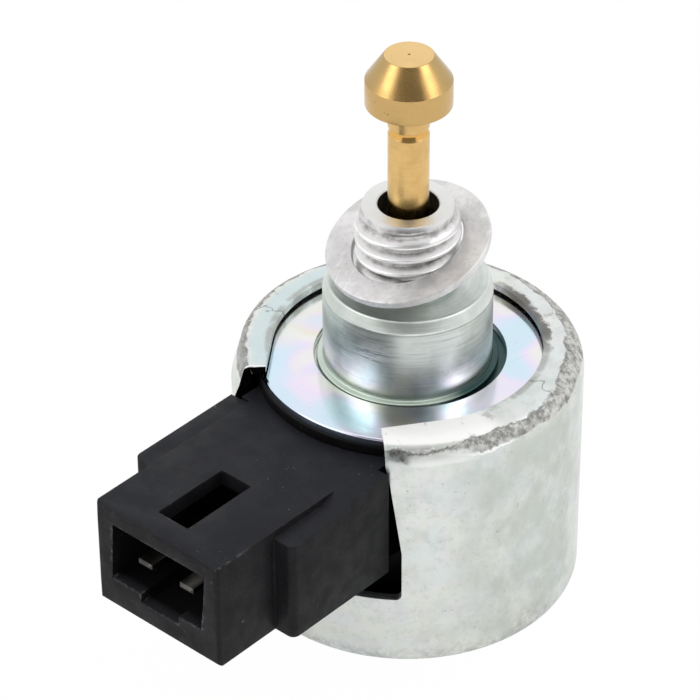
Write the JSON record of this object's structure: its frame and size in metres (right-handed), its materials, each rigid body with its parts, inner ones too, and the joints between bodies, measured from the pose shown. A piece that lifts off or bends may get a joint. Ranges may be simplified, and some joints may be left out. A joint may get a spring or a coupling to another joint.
{
  "type": "fuel shutoff solenoid",
  "caption": "Fuel shutoff solenoid: a drawn steel cup round a moulded coil with a plug socket at its side, an M10 threaded neck, and a brass valve pin that the coil pulls in.",
  "frame": {"origin": "centre of the cup's flat bottom", "axes": "+Z along the neck towards the tip of the valve pin; the connector points along -Y"},
  "size_m": [0.0336, 0.0512, 0.0576],
  "materials": {
    "zinc_cup": "satin zinc plating on drawn sheet",
    "zinc_plate": "bright zinc plating",
    "zinc_neck": "zinc plating on turned steel",
    "soft_aluminium": "matte, blanked",
    "turned_brass": "polished, turned",
    "armature_steel": "turned",
    "spring_steel": "drawn wire",
    "shim_brass": "rolled",
    "seal_rubber": "moulded",
    "bobbin_nylon": "moulded",
    "enamelled_wire": "enamelled copper",
    "wrapping_tape": "film tape",
    "black_moulding": "moulded, fine spark texture",
    "tinned_blade": "tinned sheet"
  },
  "bodies": {
    "housing": {"housing_cup": "zinc_cup", "top_plate": "zinc_plate", "threaded_neck": "zinc_neck", "sealing_washer": "soft_aluminium", "return_spring": "spring_steel", "fixed_core": "armature_steel", "plunger_shim": "shim_brass", "guide_tube": "shim_brass", "neck_o_ring": "seal_rubber", "core_o_ring": "seal_rubber", "coil_bobbin": "bobbin_nylon", "coil_winding": "enamelled_wire", "coil_tape": "wrapping_tape", "connector_body": "black_moulding", "terminal_blade_left": "tinned_blade", "terminal_blade_right": "tinned_blade", "lead_wire_left": "enamelled_wire", "lead_wire_right": "enamelled_wire", "preload_washer": "spring_steel"},
    "plunger_unit": {"valve_pin": "turned_brass", "plunger": "armature_steel"}
  },
  "joints": [
    {"name": "plunger_stroke", "type": "slide", "parent": "housing", "child": "plunger_unit", "axis": [0, 0, -1], "range_m": [0, 0.003], "stiffness_N_per_m": 350, "springref_m": -0.0046, "deforming": ["return_spring"]}
  ]
}
